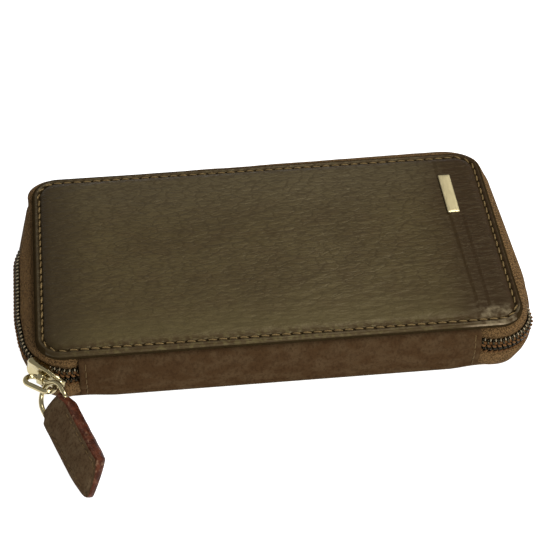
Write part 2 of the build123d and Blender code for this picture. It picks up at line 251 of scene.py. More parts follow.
def cover_leather():
    """Olive-brown satin leather: cells drawn out along the length, pores, painted sheen and highlights, and
    painted shade in darker zones.
    """
    s = Surface("cover_leather", roughness=0.42, Specular_IOR_Level=0.24, Specular_Tint=OLIVE_GLOSS)
    x, y = s.axis("X"), s.axis("Y")
    patch = s.noise(24)
    s.colour(s.mix(s.band(patch, 0.35, 0.65), (0.036, 0.0245, 0.009), (0.046, 0.033, 0.0125)))
    cloud = s.noise(5, detail=4.0, stretch=(1.8, 1, 1))
    s.tint(s.band(cloud, 0.42, 0.72, 0.0, 0.35), (0.036, 0.021, 0.0085))
    # Painted sheen: lighter towards the front. Lighter towards the back, dark at the right end
    painted_front_sheen = s.band(s.sum(y, s.times(patch, 10.0)), -38, -20, 0.8, 0.0)
    s.tint(s.times(painted_front_sheen, s.band(x, 20, 70, 1.0, 0.35)), (0.056, 0.042, 0.016))
    s.tint(s.band(y, 8, 40, 0.0, 0.7), (0.05, 0.038, 0.019))
    s.tint(s.band(s.sum(x, s.times(patch, 20.0)), 66, 86), (0.02, 0.0105, 0.004))
    # Painted shade in the valley inside the seam, painted highlights on the rim's lower edge and in a patch
    # at the front right corner, painted shade at the dark left end
    inset = s.calc("MINIMUM", s.calc("SUBTRACT", HALF_L, s.calc("ABSOLUTE", x)),
                   s.calc("SUBTRACT", HALF_W, s.calc("ABSOLUTE", y)))
    # Painted shade: noisy dark patches in the valley just inside the seam
    seam_shade_patches = s.band(s.noise(1.6), 0.35, 0.55)
    s.tint(s.times(s.band(inset, 3.2, 6.8, 0.85, 0.0), seam_shade_patches), (0.026, 0.014, 0.006))
    # Painted highlight: a pale line along the front rim's lower edge towards the right corner
    s.tint(s.times(s.band(y, -47.35, -46.95, 1.0, 0.0), s.band(x, 62, 74)), (0.26, 0.2, 0.13))
    # Painted highlight: pale blotches just inside the seam by the front right corner
    wear_and_highlight = s.times(s.band(s.noise(2.6), 0.36, 0.66), s.band(x, 66, 75))
    s.tint(s.times(wear_and_highlight, s.band(y, -41.5, -37.5, 0.75, 0.0)), (0.14, 0.11, 0.064))
    # Painted shade: darker towards the left end
    s.tint(s.band(x, -85, -62, 0.9, 0.0), (0.017, 0.0105, 0.0042))
    # Grain, calmer towards the front
    strength = s.band(y, -42, -12, 0.4, 1.0)
    grain = s.band(s.cells(1.6, (3.0, 1, 1), "DISTANCE_TO_EDGE", warp=2.6), 0.0, 0.2)
    swell = s.noise(2.6, detail=1.0, stretch=(2.6, 1, 1), turn=(0, 0, 3))
    fine = s.noise(0.5, detail=2.0)
    s.tint(s.times(s.band(grain, 0.0, 0.8, 0.45, 0.0), strength), (0.016, 0.0095, 0.0035))
    s.tint(s.band(fine, 0.36, 0.5, 0.25, 0.0), (0.024, 0.0145, 0.0055))
    s.set("Specular IOR Level", s.band(x, 15, 80, 0.24, 0.11))
    s.set("Roughness", s.band(s.noise(3), 0.3, 0.7, 0.38, 0.5))
    under = s.bump(s.times(grain, strength), 0.06)
    under = s.bump(swell, 0.4, 1.0, under)
    s.bump(fine, 0.06, 0.8, under)
    return s.material


def mottled(name, dark, light, blot, grain, **inputs):
    """Two colours mixed by noise of (size, detail), and a bump of (size, detail, depth, strength)."""
    s = Surface(name, **inputs)
    s.colour(s.mix(s.noise(*blot), dark, light))
    size, detail, depth, strength = grain
    s.bump(s.noise(size, detail), depth, strength)
    return s.material


def spine_leather(name, dark, light):
    """Matt reddish-brown leather with scuffs and a fine open grain."""
    s = Surface(name, roughness=0.6, Specular_IOR_Level=0.0)
    patch = s.noise(4, detail=5.0, stretch=(1.6, 1, 1))
    scuff = s.noise(1.0, detail=4.0, stretch=(1, 1, 1.8))
    pores = s.noise(0.5, detail=2.0, stretch=(1.6, 1, 1))
    s.colour(s.mix(s.band(patch, 0.38, 0.64), dark, light))
    s.tint(s.band(scuff, 0.46, 0.66, 0.0, 0.4), (0.022, 0.011, 0.005))
    s.tint(s.band(pores, 0.5, 0.72, 0.0, 0.4), (0.02, 0.0105, 0.005))
    under = s.bump(scuff, 0.3, 0.5)
    s.bump(pores, 0.12, 0.6, under)
    return s.material


def pocket_leather():
    s = Surface("pocket_leather")
    s.colour(s.mix(s.noise(9), (0.05, 0.032, 0.02), (0.075, 0.05, 0.03)))
    s.bump(s.cells(0.6), 0.1, 0.5)
    return s.material


def edge_paint():
    """Dark red painted edge with a dull gloss, uneven where it has soaked in."""
    s = Surface("edge_paint", roughness=0.4, Specular_IOR_Level=0.15, Specular_Tint=RED_GLOSS)
    blot = s.noise(2.4, detail=4.0)
    wear_and_highlight = s.noise(1.3, stretch=(1, 2.5, 1))
    s.colour(s.mix(s.band(blot, 0.4, 0.68), (0.024, 0.006, 0.0026), (0.062, 0.017, 0.0075)))
    s.tint(s.band(wear_and_highlight, 0.58, 0.7, 0.0, 0.6), (0.14, 0.08, 0.045))
    s.bump(s.noise(0.9), 0.4, 0.9)
    return s.material


def woven(name, dark, light, rib=0.55):
    """Twill: two crossed waves broken up by fibre noise."""
    s = Surface(name, roughness=0.95, Specular_IOR_Level=0.04)
    warp = s.wave(rib, turn=(32, 28, 40), warp=0.8)
    weft = s.wave(rib, turn=(-30, 35, -42), warp=0.8)
    weave = s.times(warp, weft)
    tone = s.sum(s.times(weave, 0.3), s.times(s.noise(0.5), 1.4))
    s.colour(s.mix(s.band(tone, 0.5, 1.0), dark, light))
    s.bump(tone, 0.35)
    return s.material


def thread(name, dark, light):
    """Twisted thread with a slight sheen."""
    s = Surface(name, roughness=0.7, Specular_IOR_Level=0.05)
    ply = s.wave(0.32, turn=(20, 35, 30))
    s.colour(s.mix(s.times(ply, s.noise(2.5)), dark, light))
    s.bump(ply, 0.08, 0.8)
    return s.material


def plated_metal():
    """Pale gold plating, polished, with faint casting unevenness."""
    s = Surface("plated_metal", Metallic=1.0)
    s.colour(s.mix(s.noise(3.5), (0.37, 0.31, 0.16), (0.47, 0.4, 0.23)))
    s.set("Roughness", s.band(s.noise(1.6, detail=4.0), 0.3, 0.7, 0.12, 0.28))
    s.bump(s.noise(1.1, detail=2.0), 0.06, 0.5)
    return s.material


def brushed_plate():
    """Pale gold sheet with fine brushing along its length."""
    s = Surface("brushed_plate", Metallic=1.0)
    lines = s.noise(0.25, detail=2.0, stretch=(1, 14, 1))
    s.colour(s.mix(lines, (0.5, 0.42, 0.23), (0.55, 0.47, 0.27)))
    s.set("Roughness", s.band(lines, 0.3, 0.7, 0.36, 0.44))
    s.bump(lines, 0.01, 0.2)
    return s.material


def foam_material():
    s = Surface("padding_foam", roughness=0.95)
    s.colour(s.mix(s.cells(0.7), (0.7, 0.66, 0.55), (0.5, 0.47, 0.38)))
    s.bump(s.cells(0.7), 0.2, 0.7)
    return s.material


COVER = cover_leather()
# Painted shade: dark leather on the seam's groove, the turned edge and the top cover's wall
PAINTED_SHADE_LEATHER = mottled("painted_shade_leather", (0.011, 0.007, 0.003), (0.026, 0.017, 0.007),
                    (1.4, 3), (0.7, 3, 0.15, 0.7), roughness=0.8, Specular_IOR_Level=0.0)
SPINE = spine_leather("spine_leather", (0.043, 0.0235, 0.0105), (0.056, 0.034, 0.0165))
TAB = spine_leather("tab_leather", (0.066, 0.041, 0.0215), (0.082, 0.055, 0.03))
POCKET = pocket_leather()
PAINT = edge_paint()
TAPE = woven("zip_tape", (0.024, 0.013, 0.005), (0.145, 0.084, 0.034))
LINING = woven("lining_twill", (0.022, 0.015, 0.01), (0.06, 0.042, 0.028), rib=0.8)
SEAM = thread("seam_thread", (0.07, 0.045, 0.018), (0.29, 0.2, 0.085))
DARK_SEAM = thread("dark_thread", (0.05, 0.03, 0.012), (0.19, 0.125, 0.055))
# Thread whose pale colour is a painted highlight on the upper coil's tops
HIGHLIGHT_THREAD = thread("pale_thread_painted_highlight", (0.16, 0.12, 0.07), (0.5, 0.42, 0.28))
COIL_SEAM = thread("coil_thread", (0.06, 0.028, 0.01), (0.2, 0.098, 0.034))
COIL = mottled("coil_nylon", (0.004, 0.0035, 0.002), (0.009, 0.008, 0.005), (1.2, 3), (0.3, 2, 0.03, 0.5),
               roughness=0.2, Specular_IOR_Level=0.3, Specular_Tint=OLIVE_GLOSS)
METAL = plated_metal()
PLATE = brushed_plate()
BOARD = mottled("stiffener_board", (0.3, 0.24, 0.16), (0.42, 0.35, 0.25),
                (1.2, 5), (0.5, 3, 0.1, 0.5), roughness=0.9)
FOAM = foam_material()


# ---- mesh building

class Builder:
    """Collects points and faces in millimetres, then makes one object."""

    def __init__(self):
        self.points = []
        self.faces = []
        self.kinds = []

    def grid(self, rows, wrap=False, close=False, flip=False, kind=0):
        """Faces between rows of equal length. wrap joins each row's ends, close joins last row to first."""
        rows = np.asarray(rows, float)
        count, length = rows.shape[:2]
        start = len(self.points)
        self.points.extend(map(tuple, rows.reshape(-1, 3)))
        for i in range(count if close else count - 1):
            for j in range(length if wrap else length - 1):
                a = start + i * length + j
                b = start + i * length + (j + 1) % length
                c = start + (i + 1) % count * length + (j + 1) % length
                d = start + (i + 1) % count * length + j
                self.faces.append((a, d, c, b) if flip else (a, b, c, d))
                self.kinds.append(kind)
        return start

    def cap(self, corners, kind=0):
        """One face over the given points."""
        self.faces.append(tuple(corners))
        self.kinds.append(kind)

    def solid(self, rows, kind=0):
        """Closed loops joined one to the next, with a face over the first and the last."""
        start = self.grid(rows, wrap=True, kind=kind)
        end = len(self.points)
        size = len(rows[0])
        self.cap(reversed(range(start, start + size)), kind)
        self.cap(range(end - size, end), kind)

    def tube(self, path, radius, sides=8, closed=False, side_way=UP, flat=1.0, kind=0):
        """A tube along path. radius is one number or one for each point. flat squeezes it along side_way."""
        path = np.asarray(path, float)
        radii = np.broadcast_to(radius, len(path))
        if closed:
            tangents = np.roll(path, -1, 0) - np.roll(path, 1, 0)
        else:
            tangents = np.gradient(path, axis=0)
        way = np.array(side_way, float)
        angles = np.arange(sides) * 2 * math.pi / sides
        rows = []
        for point, tangent, r in zip(path, unit(tangents), radii):
            first = way - tangent * (way @ tangent)
            if np.linalg.norm(first) < 0.05:
                first = np.cross(tangent, (1.0, 0.3, 0.2))
            first = unit(first)
            second = np.cross(tangent, first)
            ring = flat * np.outer(np.cos(angles), first) + np.outer(np.sin(angles), second)
            rows.append(point + r * ring)
        if closed:
            self.grid(rows, wrap=True, close=True, kind=kind)
        else:
            self.solid(rows, kind)

    def capsule(self, first, second, radius, sides=8, sag=0.0, side_way=UP, kind=0):
        """A rounded dash of thread between two points. sag lifts its middle along side_way."""
        first, second = np.asarray(first, float), np.asarray(second, float)
        lift = np.array(side_way, float)
        steps = (0.0, 0.07, 0.2, 0.5, 0.8, 0.93, 1.0)
        widths = (0.25, 0.7, 0.95, 1.0, 0.95, 0.7, 0.25)
        path = [first + (second - first) * t + lift * sag * math.sin(math.pi * t) for t in steps]
        self.tube(path, radius * np.array(widths), sides, side_way=lift, kind=kind)

    def make(self, name, *materials):
        mesh = bpy.data.meshes.new(name)
        mesh.from_pydata([tuple(c * MM for c in p) for p in self.points], [], self.faces)
        for material in materials:
            mesh.materials.append(material)
        mesh.polygons.foreach_set("material_index", self.kinds)
        mesh.polygons.foreach_set("use_smooth", [True] * len(self.faces))
        mesh.update()
        made = bmesh.new()
        made.from_mesh(mesh)
        bmesh.ops.remove_doubles(made, verts=made.verts, dist=1e-7)
        bmesh.ops.recalc_face_normals(made, faces=made.faces)
        made.to_mesh(mesh)
        made.free()
        obj = bpy.data.objects.new(name, mesh)
        bpy.context.collection.objects.link(obj)
        return obj

    def piece(self, name, material, body, slot, *nodes):
        """One object on a body, with the CAD nodes that it stands for. Its slot is not used."""
        finish_piece(self.make(name, material), body, slot, *nodes)


def finish_piece(obj, body, slot, *nodes):
    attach(obj, body)
    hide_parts(*nodes)


def ramp(value, low, high):
    """0 below low, 1 above high, even between."""
    return min(max((value - low) / (high - low), 0.0), 1.0)


def smoothstep(value, low, high):
    t = ramp(value, low, high)
    return t * t * (3 - 2 * t)


def dent(distance, half_width):
    return math.exp(-((distance / half_width) ** 2))


def rough(*place):
    """Smooth noise, mostly within half a unit of zero."""
    return noise.noise(Vector(place))


# ---- covers

def soft_corner(x, y, half_x, half_y, radius):
    """Moves a point of a rectangle onto the matching nested rounded rectangle."""
    inset = min(half_x - abs(x), half_y - abs(y))
    r = radius - inset
    if r <= 0:
        return x, y
    hx, hy = half_x - inset, half_y - inset
    along_x, along_y = hx - abs(x), hy - abs(y)
    if max(along_x, along_y) >= r:
        return x, y
    if along_y >= along_x:
        angle = math.pi / 4 * (1 - along_y / r)
    else:
        angle = math.pi / 4 * (1 + along_x / r)
    px = hx - r + r * math.cos(angle)
    py = hy - r + r * math.sin(angle)
    return math.copysign(px, x), math.copysign(py, y)


def lines(half, fine, step):
    """Grid lines over -half..half: near the ends as given by fine, and even between."""
    inner = half - fine[-1]
    count = max(2, round(2 * inner / step))
    middle = [-inner + 2 * inner * i / count for i in range(1, count)]
    ends = [-half + f for f in fine]
    return ends + middle + [-v for v in reversed(ends)]


def middles(values):
    """The middle of each gap between neighbours."""
    return [(a + b) / 2 for a, b in zip(values, values[1:])]


def outline(rows):
    """The outer points of a grid, once round."""
    return rows[0] + [r[-1] for r in rows[1:]] + rows[-1][-2::-1] + [r[0] for r in rows[-2:0:-1]]


def seam_points(half_x, half_y, radius, pitch):
    """Evenly spaced (x, y, dx, dy) round a rounded rectangle."""
    corners = [(1, 1, 0), (-1, 1, 90), (-1, -1, 180), (1, -1, 270)]
    dense = []
    for sx, sy, turn in corners:
        for k in range(13):
            a = math.radians(turn + 90 * k / 12)
            dense.append((sx * (half_x - radius) + radius * math.cos(a),
                          sy * (half_y - radius) + radius * math.sin(a)))
    dense = np.array(dense + dense[:1])
    lengths = path_lengths(dense)
    count = round(lengths[-1] / pitch)
    spots = []
    for k in range(count):
        at = lengths[-1] * k / count
        here = [np.interp(at, lengths, dense[:, i]) for i in (0, 1)]
        ahead = [np.interp((at + 0.2) % lengths[-1], lengths, dense[:, i]) for i in (0, 1)]
        spots.append((*here, *unit(np.subtract(ahead, here))))
    return spots


STITCHES = seam_points(HALF_L - SEAM_IN, HALF_W - SEAM_IN, CORNER_R - SEAM_IN, STITCH_PITCH)
HOLES = np.array([(x, y) for x, y, _, _ in STITCHES])


def panel_marks(x, y):
    """Marks that only the top cover has: two pressed lines by the name plate, puckers and a crease."""
    left_line = 70.2 - 0.022 * y
    right_line = 75.0 - 0.004 * y
    z = 0.3 * (dent(x - left_line - 1.0, 0.5) - dent(x - left_line, 0.5)) * smoothstep(y, -38, -34)
    pressed = 0.2 * dent(x - right_line - 0.9, 0.45) - 0.25 * dent(x - right_line, 0.45)
    z += pressed * smoothstep(-y, -14, -8)
    z += 0.7 * rough(x / 3.4, y / 2.6, 9.0) * dent(x - 76, 7) * dent(y + 41, 2.6)
    along = (x + 80) / 22
    if 0 < along < 1:
        ridge = 31.5 + 10 * math.sqrt(along)
        z += 0.16 * dent(y - ridge, 1.6) * math.sin(math.pi * along)
    return z


def cover_height(x, y, inset, marks):
    """Height of a cover's outer face above its inner face."""
    z = RIM_T
    if inset < EDGE_ROUND:
        z -= EDGE_ROUND - math.sqrt(max(EDGE_ROUND ** 2 - (EDGE_ROUND - inset) ** 2, 0))
    z += 0.22 * dent(inset - 1.3, 0.7)
    if inset < PAD_START + PAD_RISE:
        near = np.min(np.hypot(HOLES[:, 0] - x, HOLES[:, 1] - y))
        z -= SEAM_DEPTH * dent(inset - SEAM_IN, SEAM_HALF)
        z -= 0.6 * dent(near, 0.75) * dent(inset - SEAM_IN, 1.6)
    z += PAD * (1 - (1 - ramp(inset, PAD_START, PAD_START + PAD_RISE)) ** 2.4)
    if inset > PAD_START:
        soft = smoothstep(inset, PAD_START, PAD_START + 6)
        z += 0.16 * soft * (rough(x / 24, y / 17, 3.1) - 0.1)
        z += 0.05 * soft * rough(x / 9, y / 2.1, 8.7)
        z += 0.035 * soft * rough(x / 5, y / 1.3, 1.7)
        z += marks * panel_marks(x, y) * soft
        z -= 0.05 * (1 - soft) * rough(x / 2.2, y / 2.2, 5.0)
    return z


def front_swell(x, y, top):
    """How far the bottom cover's rim stands forward of its outline below the spine, up to 1 mm."""
    if top:
        return 0.0
    return smoothstep(-y, HALF_W - 3, HALF_W) * (1 - smoothstep(abs(x), 60, 72))


# Grid lines in from the cover's edge, close enough for the rim, the seam and the valley
EDGE_LINES = (0.0, 0.12, 0.35, 0.7, 1.1, 1.5, 1.9, 2.15, 2.4, 2.7, 3.0, 3.25, 3.6, 4.1, 4.8, 5.6, 6.5)
# The rim's wall, the turned-in edge and the beds of board and foam, as (inset, height)
INNER_LOOPS = ((0.0, 1.1), (0.05, 0.5), (0.35, 0.06), (0.7, 0.0), (EDGE_WALL, 0.0),
               (EDGE_WALL, BOARD_TOP), (FOAM_IN, BOARD_TOP), (FOAM_IN, FOAM_TOP))


def build_cover(name, top, step):
    """A closed leather shell: worked outer face, turned-in edge, and a bed for board and foam."""
    xs = lines(HALF_L, EDGE_LINES, step)
    ys = lines(HALF_W, EDGE_LINES, step)
    rows = []
    for y in ys:
        row = []
        for x in xs:
            inset = min(HALF_L - abs(x), HALF_W - abs(y))
            px, py = soft_corner(x, y, HALF_L, HALF_W, CORNER_R)
            row.append((px, py, cover_height(px, py, inset, 1.0 if top else 0.0)))
        rows.append(row)
    builder = Builder()
    builder.grid(rows)
    builder.kinds = []
    # Painted shade: faces in the seam's groove and on the turned edge take the dark leather
    for y in middles(ys):
        for x in middles(xs):
            groove = abs(min(HALF_L - abs(x), HALF_W - abs(y)) - SEAM_IN) < SEAM_HALF
            turned = min(HALF_L - abs(x), HALF_W - y) < TURNED_EDGE
            builder.kinds.append(1 if groove or turned else 0)
    edge = outline(rows)
    loops = [edge]
    for inset, z in INNER_LOOPS:
        loops.append([(*toward_middle(x, y, inset), z) for x, y, _ in edge])
    # The top cover's wall and turned-in edge take the painted-shade leather, the bottom cover's the spine
    # leather
    builder.grid(loops, wrap=True, kind=1 if top else 2)
    end = len(builder.points)
    builder.cap(range(end - len(edge), end))
    lift = UPPER_FACE if top else LOWER_FACE
    side = 1 if top else -1
    builder.points = [(x, y - front_swell(x, y, top), lift + side * z) for x, y, z in builder.points]
    return builder.make(name, COVER, PAINTED_SHADE_LEATHER, SPINE)


def toward_middle(x, y, inset):
    """A point of the cover's outline moved straight in from the edge."""
    cx, cy = HALF_L - CORNER_R, HALF_W - CORNER_R
    from_x, from_y = max(abs(x) - cx, 0.0), max(abs(y) - cy, 0.0)
    length = math.hypot(from_x, from_y)
    scale = (length - inset) / length
    px = min(abs(x), cx) + from_x * scale
    py = min(abs(y), cy) + from_y * scale
    return math.copysign(px, x), math.copysign(py, y)


def build_seam(name, top):
    """Slanting dashes of thread in the seam's groove."""
    builder = Builder()
    lift = UPPER_FACE if top else LOWER_FACE
    side = 1 if top else -1
    z = lift + side * (RIM_T - SEAM_DEPTH - 0.08)
    slant = 0.16
    gap = 0.35
    for x, y, dx, dy in STITCHES:
        aside = slant + random.uniform(-0.05, 0.05)
        reach = STITCH_PITCH - gap
        first = (x + dx * gap - dy * aside, y + dy * gap + dx * aside, z)
        second = (x + dx * reach + dy * slant, y + dy * reach - dx * slant, z)
        builder.capsule(first, second, 0.34, sag=side * 0.34)
    return builder.make(name, SEAM)


def build_covers():
    for side, top, step in (("top", True, 0.7), ("bottom", False, 1.6)):
        body = f"{side}_cover"
        cover = build_cover(f"{side}_leather", top, step)
        finish_piece(cover, body, "cover_leather", f"{side}_cover_leather")
        seam = build_seam(f"{side}_seam", top)
        finish_piece(seam, body, "seam_thread", f"{side}_cover_stitching")


build_covers()


# ---- spine

SPINE_LOW = LOWER_FACE - 1.2
SPINE_HIGH = UPPER_FACE - 0.1
SPINE_SEAM_IN = 2.3
SPINE_PROUD = 2.2
SPINE_WALL = 1.1
SPINE_PITCH = 3.1
# Grid lines in from the spine's ends
END_LINES = (0.0, 0.12, 0.4, 0.9, 1.6, 2.0, 2.3, 2.6, 3.0, 3.8, 5.0)


def spine_front(height):
    """Depth of the spine's outer face at a height."""
    t = (height - MID) / (SPINE_HIGH - MID)
    least = 0.42 if height < MID else 0.0
    return -HALF_W - 0.25 - SPINE_PROUD * max(1 - t * t, least)


def build_spine():
    """A bowed strip whose ends are folded under."""
    builder = Builder()
    span = SPINE_X1 - SPINE_X0
    tall = SPINE_HIGH - SPINE_LOW
    count = 110
    middle = [END_LINES[-1] + (span - 2 * END_LINES[-1]) * i / count for i in range(1, count)]
    section = [(0.0, -0.55)] + [(h, 0.0) for h in np.linspace(0, 1, 27)] + [(1.0, -0.55)]
    loops = []
    for along in [*END_LINES, *middle, *(span - v for v in reversed(END_LINES))]:
        x = SPINE_X0 + along
        end = min(along, span - along)
        fold = 0.35 * (1 - smoothstep(end, 3.4, 5.2))
        front = []
        back = []
        for h, sunk in section:
            z = SPINE_LOW + tall * h
            edge = min(h, 1 - h) * tall
            y = spine_front(z) - fold - sunk + 0.22 * dent(end - SPINE_SEAM_IN, 0.5)
            y += 0.9 * (1 - smoothstep(edge, 0, 1.2)) + 0.35 * (1 - smoothstep(end, 0, 0.5))
            y -= 0.16 * rough(x / 19, z / 6, 2.0)
            y -= 0.04 * rough(x / 3, z / 2.2, 6.0)
            front.append((x, y, z))
            back.append((x, spine_front(z) + SPINE_WALL, z))
        loops.append(front + back[::-1])
    builder.solid(loops)
    leather = builder.make("spine", SPINE)
    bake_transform(leather)
    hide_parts("spine_leather")


def build_spine_seams():
    """A row of stitches across each end of the spine."""
    seam = Builder()
    for x in (SPINE_X0 + SPINE_SEAM_IN, SPINE_X1 - SPINE_SEAM_IN):
        z = SPINE_LOW + 1.2
        while z + SPINE_PITCH < SPINE_HIGH:
            low, high = z + 0.3, z + SPINE_PITCH - 0.3
            first = (x - 0.1, spine_front(low) - 0.12, low)
            second = (x + 0.1, spine_front(high) - 0.12, high)
            seam.capsule(first, second, 0.27, sag=0.16, side_way=(0, -1, 0))
            z += SPINE_PITCH
    seam.piece("spine_seams", DARK_SEAM, "spine", "seam_thread", "spine_stitching")


def build_spine_lining():
    lining = Builder()
    heights = np.linspace(SPINE_LOW + 0.2, SPINE_HIGH - 0.2, 17)
    loops = []
    for x in np.linspace(SPINE_X0 + 3.5, SPINE_X1 - 3.5, 60):
        loop = [(x, spine_front(z) + SPINE_WALL + 0.05, z) for z in heights]
        for z in heights[::-1]:
            ripple = 0.12 * rough(x / 8, z / 4, 4.0)
            loop.append((x, spine_front(z) + SPINE_WALL + 0.5 + ripple, z))
        loops.append(loop)
    lining.solid(loops)
    lining.piece("spine_inside", LINING, "spine", "lining_fabric", "spine_lining")


build_spine()
build_spine_seams()
build_spine_lining()


# ---- zip

STRAIGHT_STEPS = (10, 14, 16, 20, 90, 34, 14, 10)
ARC_STEPS = (40, 6, 6, 26, 30, 6, 34)
UNDER_SPINE = 2.5


def zip_corner(side_x, side_y, shares, bulge):
    """One corner of the zip's path for one amount of bulge, as x, y and radius."""
    x_share, y_share, r_share = shares
    x, y = side_x * (HALF_L + x_share * bulge), side_y * (HALF_W + y_share * bulge)
    return x, y, CORNER_R + r_share * bulge


def zip_row(bulge):
    """Points (x, y) along the zip's open path for one amount of bulge, always the same number of them."""
    side_x = HALF_L + bulge
    front_left = zip_corner(-1, -1, FRONT_LEFT, bulge)
    back_left = zip_corner(-1, 1, BACK_LEFT, bulge)
    back_right = zip_corner(1, 1, BACK_RIGHT, bulge)
    front_right = zip_corner(1, -1, FRONT_RIGHT, bulge)
    corners = np.array([
        (SPINE_X0 + UNDER_SPINE, front_left[1]), front_left[:2],
        (-side_x, KNEE_Y), (-side_x, SHOULDER_Y), back_left[:2],
        back_right[:2], (side_x, KNEE_Y), front_right[:2], (SPINE_X1 - UNDER_SPINE, front_right[1]),
    ])
    radii = [front_left[2], KNEE_R, KNEE_R, back_left[2], back_right[2], KNEE_R, front_right[2]]
    points = []
    last = corners[0]
    for k, radius in enumerate(radii):
        before, here, after = corners[k], corners[k + 1], corners[k + 2]
        to_before, to_after = unit(before - here), unit(after - here)
        half = math.acos(np.clip(to_before @ to_after, -1, 1)) / 2
        reach = radius / math.tan(half)
        first, second = here + to_before * reach, here + to_after * reach
        centre = here + unit(to_before + to_after) * radius / math.sin(half)
        steps = STRAIGHT_STEPS[k]
        points += [last + (first - last) * i / steps for i in range(steps)]
        a = math.atan2(*(first - centre)[::-1])
        b = math.atan2(*(second - centre)[::-1])
        turn = (b - a + math.pi) % (2 * math.pi) - math.pi
        for i in range(ARC_STEPS[k]):
            angle = a + turn * i / ARC_STEPS[k]
            points.append(centre + radius * np.array((math.cos(angle), math.sin(angle))))
        last = second
    steps = STRAIGHT_STEPS[-1]
    points += [last + (corners[-1] - last) * i / steps for i in range(steps + 1)]
    return np.array(points)


BASE = zip_row(BULGE)
BASE_AT = path_lengths(BASE)
ZIP_LENGTH = BASE_AT[-1]
ROWS = {}
# The knees in the sides need some bulge to have an arc at all
LEAST_BULGE = 0.02


def row_of(bulge):
    """The path for one amount of bulge and its outward ways, made once."""
    key = round(bulge, 4)
    if key not in ROWS:
        path = zip_row(max(key, LEAST_BULGE))
        tangent = unit(np.gradient(path, axis=0))
        ROWS[key] = path, np.stack([-tangent[:, 1], tangent[:, 0]], axis=1)
    return ROWS[key]


def tuck(x, y):
    """How far the zip dips inward where it passes under the spine's ends."""
    if y > -30:
        return 0.0
    under = [x - SPINE_X0, SPINE_X1 - x]
    return 1.1 * max(smoothstep(v, -5, 0.5) * (1 - smoothstep(v, 5, 9)) for v in under)


def zip_place(at, bulge=BULGE, out=0.0):
    """Point (x, y), outward way and forward way, at a distance along the zip."""
    path, normals = row_of(bulge)
    u = np.interp(at, BASE_AT, np.arange(len(BASE_AT)))
    low = min(int(u), len(path) - 2)
    share = u - low
    point = path[low] * (1 - share) + path[low + 1] * share
    normal = unit(normals[low] * (1 - share) + normals[low + 1] * share)
    point = point + normal * (out - tuck(*point))
    return point, normal, np.array((normal[1], -normal[0]))


# A point of the path in the middle of the front left corner's arc, as far from its axis as the slider
IN_FIRST_ARC = 30
SLIDER_SPOT = CORNER_AXIS[:2] + OUT[:2] * np.linalg.norm(BASE[IN_FIRST_ARC] - CORNER_AXIS[:2])
SLIDER_AT = BASE_AT[np.argmin(np.linalg.norm(BASE - SLIDER_SPOT, axis=1))]


def parting(at):
    """Half the gap between the two coils: open between the slider and the spine, closed behind the slider."""
    return 0.55 * (1 - smoothstep(at, SLIDER_AT - 6, SLIDER_AT + 4))


def covered(at):
    """How far the tape hides the coil, 0 to 1: all along the back and most of the sides."""
    x, y = zip_place(at)[0]
    return smoothstep(y, 8, 26) if x < 0 else smoothstep(y, -40, -26)


def back_slack(at):
    """The upper tape stands out further along the back, most of all towards the right."""
    x, y = zip_place(at)[0]
    return smoothstep(y, 40, 52) * (1.3 + 1.3 * smoothstep(x, -60, 70))


# The tape's section as (share of the bulge, outward, away from the middle), from the coil on
UPPER_START = ((1.0, -1.95, 1.6), (1.0, -1.8, 3.8))
LOWER_START = ((1.0, -1.3, 1.7), (1.0, -0.3, 2.2), (1.0, 0.1, 3.0))
TAPE_T = 0.45


def tape_profile(upper):
    """From behind the coil up, or down, to the cover's edge."""
    profile = list(UPPER_START if upper else LOWER_START)
    _, start_out, start_z = profile[-1]
    end_z = UPPER_FACE - 0.05 - MID if upper else MID - 2.0
    for t in np.linspace(0.1, 1.0, 10):
        out = start_out * (1 - t) + 0.55 * math.sin(math.pi * min(t * 1.05, 1)) ** 0.8
        out += -0.7 * smoothstep(t, 0.75, 1) if upper else 0.45 * t
        profile.append((1 - t, out, start_z + (end_z - start_z) * t))
    profile.append((0.0, -1.4, end_z) if upper else (0.0, 0.3, end_z + 0.5))
    return profile


def build_tape(name, side):
    """Woven tape along the whole zip, rippled and slack where it isn't pulled."""
    builder = Builder()
    outer = []
    inner = []
    for share, out, z in tape_profile(side > 0):
        face = []
        back = []
        for at in BASE_AT:
            ripple = 0.22 * rough(at / 16, z * 0.22, 3.0 * side)
            ripple += 0.1 * rough(at / 5, z * 0.5, 8.0 * side)
            ripple *= math.sin(math.pi * share) + 0.1
            slack = back_slack(at) * math.sin(math.pi * share) if side > 0 else 0.0
            slack += 0.3 * covered(at) * min(1.6 * share, 1.0)
            point, normal, _ = zip_place(at, share * BULGE, out + ripple + slack)
            height = MID + side * (z + 0.6 * parting(at) * share)
            face.append((*point, height))
            back.append((*(point - normal * TAPE_T), height))
        outer.append(face)
        inner.append(back)
    rows = outer + inner[::-1]
    start = builder.grid(rows, close=True)
    end = len(builder.points)
    builder.cap(range(start, end, len(BASE_AT)))
    builder.cap(reversed(range(start + len(BASE_AT) - 1, end, len(BASE_AT))))
    return builder.make(name, TAPE)


# One turn of the coil as (outward, away from the middle, along), in millimetres
TURN = ((-0.9, 3.25, 0.3), (-0.4, 3.0, 0.34), (-0.22, 2.5, 0.28), (-0.3, 1.7, 0.14), (-0.15, 0.8, 0.02),
        (-0.12, -0.1, 0.0), (-0.45, -0.55, 0.0), (-0.95, -0.55, 0.0), (-1.3, -0.1, 0.0), (-1.4, 1.0, -0.08),
        (-1.45, 2.1, -0.3), (-1.45, 2.9, -0.45), (-1.35, 3.3, -0.2))
TURN_RADII = (0.4, 0.41, 0.39, 0.36, 0.38, 0.44, 0.46, 0.44, 0.38, 0.36, 0.36, 0.38, 0.4)
LOWER_TILT = 0.36
# How far the coil moves in where the tape hides it
COIL_TUCK = 2.2


